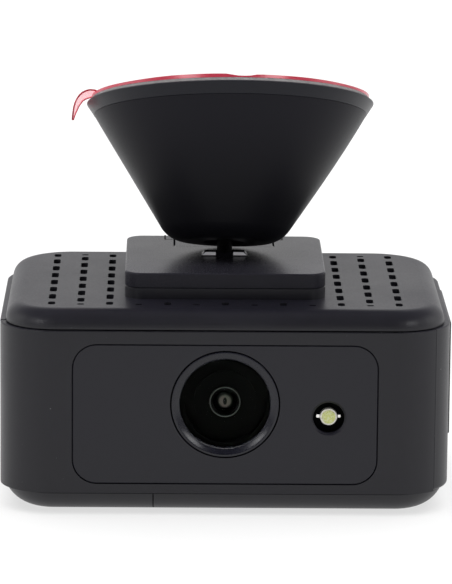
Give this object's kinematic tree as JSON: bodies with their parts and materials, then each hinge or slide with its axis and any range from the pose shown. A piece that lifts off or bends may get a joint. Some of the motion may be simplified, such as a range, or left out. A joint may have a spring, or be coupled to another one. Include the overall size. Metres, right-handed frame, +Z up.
{
  "type": "dash camera",
  "caption": "Boxy dash camera with a central lens, a small white lamp, a vented top and a slide-on plate carrying a tilting conical windshield mount with an adhesive pad.",
  "frame": {"origin": "centre of the flat base face of the case", "axes": "+X to the right seen from the lens side, +Y from the lens side to the driver side, +Z up"},
  "size_m": [0.1016, 0.0743, 0.098],
  "materials": {
    "case_plastic": "fine matt texture",
    "panel_plastic": "fine matt texture",
    "bezel_plastic": "satin",
    "plate_plastic": "semi-gloss",
    "cone_plastic": "satin",
    "black_plastic": "matt",
    "acetal": "smooth",
    "window_glass": "polished, coated",
    "lens_glass": "polished, coated",
    "circuit_board": "solder mask",
    "chip_black": "moulded",
    "steel": "plain",
    "heat_sink_aluminium": "extruded",
    "thermal_pad": "soft",
    "ceramic": "fired",
    "flex_film": "polyimide film",
    "capacitor_sleeve": "sleeved",
    "light_guide": "clear",
    "lamp_white": "white ceramic",
    "lamp_phosphor": "phosphor gel",
    "lamp_metal": "tinned",
    "foam": "closed-cell foam tape",
    "red_film": "clear red film"
  },
  "bodies": {
    "camera": {"front_shell": "case_plastic", "back_cover": "case_plastic", "left_side_panel": "case_plastic", "right_side_panel": "case_plastic", "top_cover": "case_plastic", "bottom_cover": "case_plastic", "front_panel": "panel_plastic", "lens_bezel": "bezel_plastic", "lens_barrel": "black_plastic", "lens_holder": "black_plastic", "light_baffle": "black_plastic", "lamp_well": "black_plastic", "camera_bracket": "black_plastic", "board_connector": "black_plastic", "speaker": "black_plastic", "lens_window": "window_glass", "lens_elements": "lens_glass", "ir_filter": "lens_glass", "main_board": "circuit_board", "camera_board": "circuit_board", "lamp_board": "circuit_board", "button_board": "circuit_board", "processor": "chip_black", "memory_chips": "chip_black", "modem_module": "chip_black", "microphone": "chip_black", "image_sensor": "chip_black", "tact_switch": "chip_black", "case_screws": "steel", "board_screws": "steel", "camera_screws": "steel", "door_pin": "steel", "modem_shield": "steel", "power_inlet": "steel", "card_socket": "steel", "heat_sink": "heat_sink_aluminium", "thermal_pad": "thermal_pad", "gnss_antenna": "ceramic", "ribbon_cable": "flex_film", "lte_antenna": "flex_film", "supercapacitors": "capacitor_sleeve", "light_guides": "light_guide", "lamp_package": "lamp_white", "lamp_phosphor": "lamp_phosphor", "lamp_leads": "lamp_metal"},
    "bracket": {"slide_plate": "plate_plastic", "ball_stud": "steel"},
    "tongue": {"release_tongue": "plate_plastic"},
    "ball_seats": {"lower_ball_seat": "acetal", "upper_ball_seat": "acetal"},
    "mount": {"mount_cone": "cone_plastic", "socket_cap": "cone_plastic", "clamp_screws": "steel", "mount_disc": "cone_plastic", "disc_screws": "steel", "foam_pad": "foam", "release_liner": "red_film"},
    "door": {"card_door": "case_plastic"},
    "card": {"memory_card": "black_plastic"},
    "button": {"event_button": "black_plastic"}
  },
  "joints": [
    {"name": "bracket_slide", "type": "slide", "parent": "camera", "child": "bracket", "axis": [0, -1, 0], "range_m": [0, 0.046]},
    {"name": "tongue_flex", "type": "hinge", "parent": "bracket", "child": "tongue", "pos_m": [0, 0.00942, 0.0523], "axis": [1, 0, 0], "range_deg": [0, 6], "stiffness_Nm_per_rad": 0.3},
    {"name": "mount_tilt", "type": "hinge", "parent": "bracket", "child": "ball_seats", "pos_m": [0, 0, 0.06235], "axis": [1, 0, 0], "range_deg": [0, 33.8]},
    {"name": "mount_swivel", "type": "hinge", "parent": "ball_seats", "child": "mount", "pos_m": [0, 0, 0.06235], "axis": [0.0217, 0.2912, 0.9564], "continuous": true},
    {"name": "card_door_hinge", "type": "hinge", "parent": "camera", "child": "door", "pos_m": [0.04955, 0.021, 0.027], "axis": [0, 0, 1], "range_deg": [0, 105]},
    {"name": "card_eject", "type": "slide", "parent": "camera", "child": "card", "axis": [1, 0, 0], "range_m": [0, 0.003]},
    {"name": "event_button_press", "type": "slide", "parent": "camera", "child": "button", "axis": [0, -1, 0], "range_m": [0, 0.0009], "stiffness_N_per_m": 350}
  ]
}
